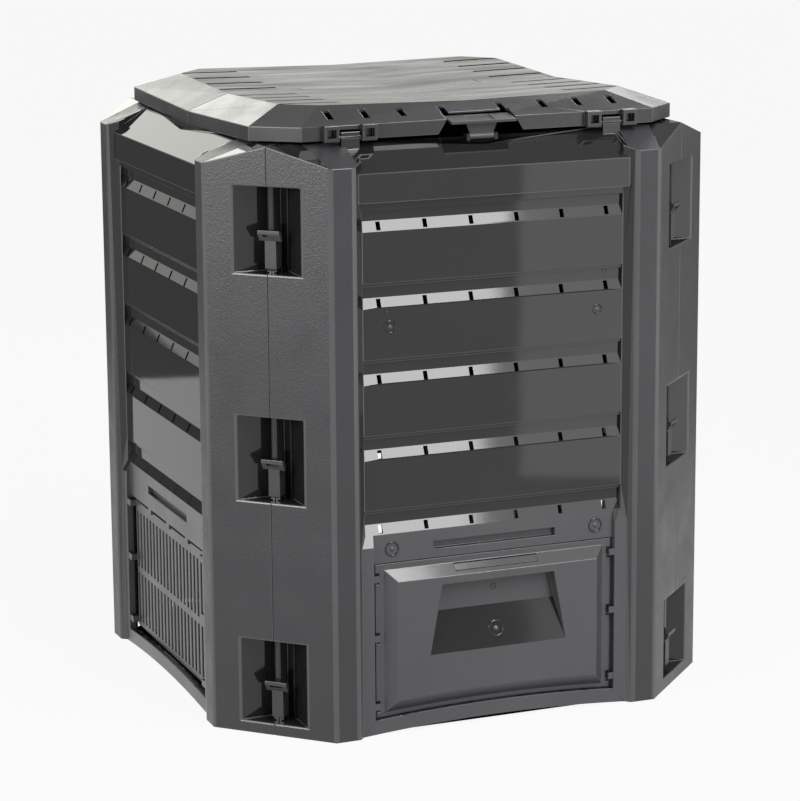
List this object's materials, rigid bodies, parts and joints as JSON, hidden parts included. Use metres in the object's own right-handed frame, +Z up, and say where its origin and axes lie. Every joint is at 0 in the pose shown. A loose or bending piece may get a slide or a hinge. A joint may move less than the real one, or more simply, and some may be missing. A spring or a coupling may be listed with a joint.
{
  "type": "compost bin",
  "caption": "Eight-sided plastic garden composter with louvred walls, vent grilles, corner clips, a folding lid on hooked hinges, lid latches and a tilting emptying hatch.",
  "frame": {"origin": "centre of the base, on the ground", "axes": "+Z up, -Y towards the viewer of the hatch side, +X to the right along that side"},
  "size_m": [0.719, 0.719, 0.8253],
  "materials": {
    "shell": "fine grain",
    "lid": "fine grain",
    "hatch": "satin",
    "fittings": "satin"
  },
  "bodies": {
    "bin": {"wall_front": "shell", "wall_right": "shell", "wall_back": "shell", "wall_left": "shell"},
    "lid_rear": {"lid_back": "lid"},
    "lid_fore": {"lid_front": "lid"},
    "hatch": {"hatch_door": "hatch"},
    "front_latch": {"latch_front": "fittings"},
    "back_latch": {"latch_back": "fittings"},
    "clip_front_left_lower": {"clip_front_left_lower": "fittings"},
    "clip_front_left_middle": {"clip_front_left_middle": "fittings"},
    "clip_front_left_upper": {"clip_front_left_upper": "fittings"},
    "clip_front_right_lower": {"clip_front_right_lower": "fittings"},
    "clip_front_right_middle": {"clip_front_right_middle": "fittings"},
    "clip_front_right_upper": {"clip_front_right_upper": "fittings"},
    "clip_back_right_lower": {"clip_back_right_lower": "fittings"},
    "clip_back_right_middle": {"clip_back_right_middle": "fittings"},
    "clip_back_right_upper": {"clip_back_right_upper": "fittings"},
    "clip_back_left_lower": {"clip_back_left_lower": "fittings"},
    "clip_back_left_middle": {"clip_back_left_middle": "fittings"},
    "clip_back_left_upper": {"clip_back_left_upper": "fittings"}
  },
  "joints": [
    {"name": "lid_hinge", "type": "hinge", "parent": "bin", "child": "lid_rear", "pos_m": [0, 0.306, 0.79], "axis": [-1, 0, 0], "range_deg": [0, 100]},
    {"name": "lid_fold", "type": "hinge", "parent": "lid_rear", "child": "lid_fore", "pos_m": [0, 0, 0.817], "axis": [-1, 0, 0], "range_deg": [0, 110]},
    {"name": "hatch_tilt", "type": "hinge", "parent": "bin", "child": "hatch", "pos_m": [0, -0.3515, 0.0215], "axis": [1, 0, 0], "range_deg": [0, 80]},
    {"name": "front_latch_pivot", "type": "hinge", "parent": "bin", "child": "front_latch", "pos_m": [0, -0.301, 0.7805], "axis": [1, 0, 0], "range_deg": [0, 30]},
    {"name": "back_latch_pivot", "type": "hinge", "parent": "bin", "child": "back_latch", "pos_m": [0, 0.301, 0.7805], "axis": [-1, 0, 0], "range_deg": [0, 30]},
    {"name": "clip_front_left_lower_slide", "type": "slide", "parent": "bin", "child": "clip_front_left_lower", "axis": [0, 0, 1], "range_m": [0, 0.05]},
    {"name": "clip_front_left_middle_slide", "type": "slide", "parent": "bin", "child": "clip_front_left_middle", "axis": [0, 0, 1], "range_m": [0, 0.05]},
    {"name": "clip_front_left_upper_slide", "type": "slide", "parent": "bin", "child": "clip_front_left_upper", "axis": [0, 0, 1], "range_m": [0, 0.05]},
    {"name": "clip_front_right_lower_slide", "type": "slide", "parent": "bin", "child": "clip_front_right_lower", "axis": [0, 0, 1], "range_m": [0, 0.05]},
    {"name": "clip_front_right_middle_slide", "type": "slide", "parent": "bin", "child": "clip_front_right_middle", "axis": [0, 0, 1], "range_m": [0, 0.05]},
    {"name": "clip_front_right_upper_slide", "type": "slide", "parent": "bin", "child": "clip_front_right_upper", "axis": [0, 0, 1], "range_m": [0, 0.05]},
    {"name": "clip_back_right_lower_slide", "type": "slide", "parent": "bin", "child": "clip_back_right_lower", "axis": [0, 0, 1], "range_m": [0, 0.05]},
    {"name": "clip_back_right_middle_slide", "type": "slide", "parent": "bin", "child": "clip_back_right_middle", "axis": [0, 0, 1], "range_m": [0, 0.05]},
    {"name": "clip_back_right_upper_slide", "type": "slide", "parent": "bin", "child": "clip_back_right_upper", "axis": [0, 0, 1], "range_m": [0, 0.05]},
    {"name": "clip_back_left_lower_slide", "type": "slide", "parent": "bin", "child": "clip_back_left_lower", "axis": [0, 0, 1], "range_m": [0, 0.05]},
    {"name": "clip_back_left_middle_slide", "type": "slide", "parent": "bin", "child": "clip_back_left_middle", "axis": [0, 0, 1], "range_m": [0, 0.05]},
    {"name": "clip_back_left_upper_slide", "type": "slide", "parent": "bin", "child": "clip_back_left_upper", "axis": [0, 0, 1], "range_m": [0, 0.05]}
  ]
}
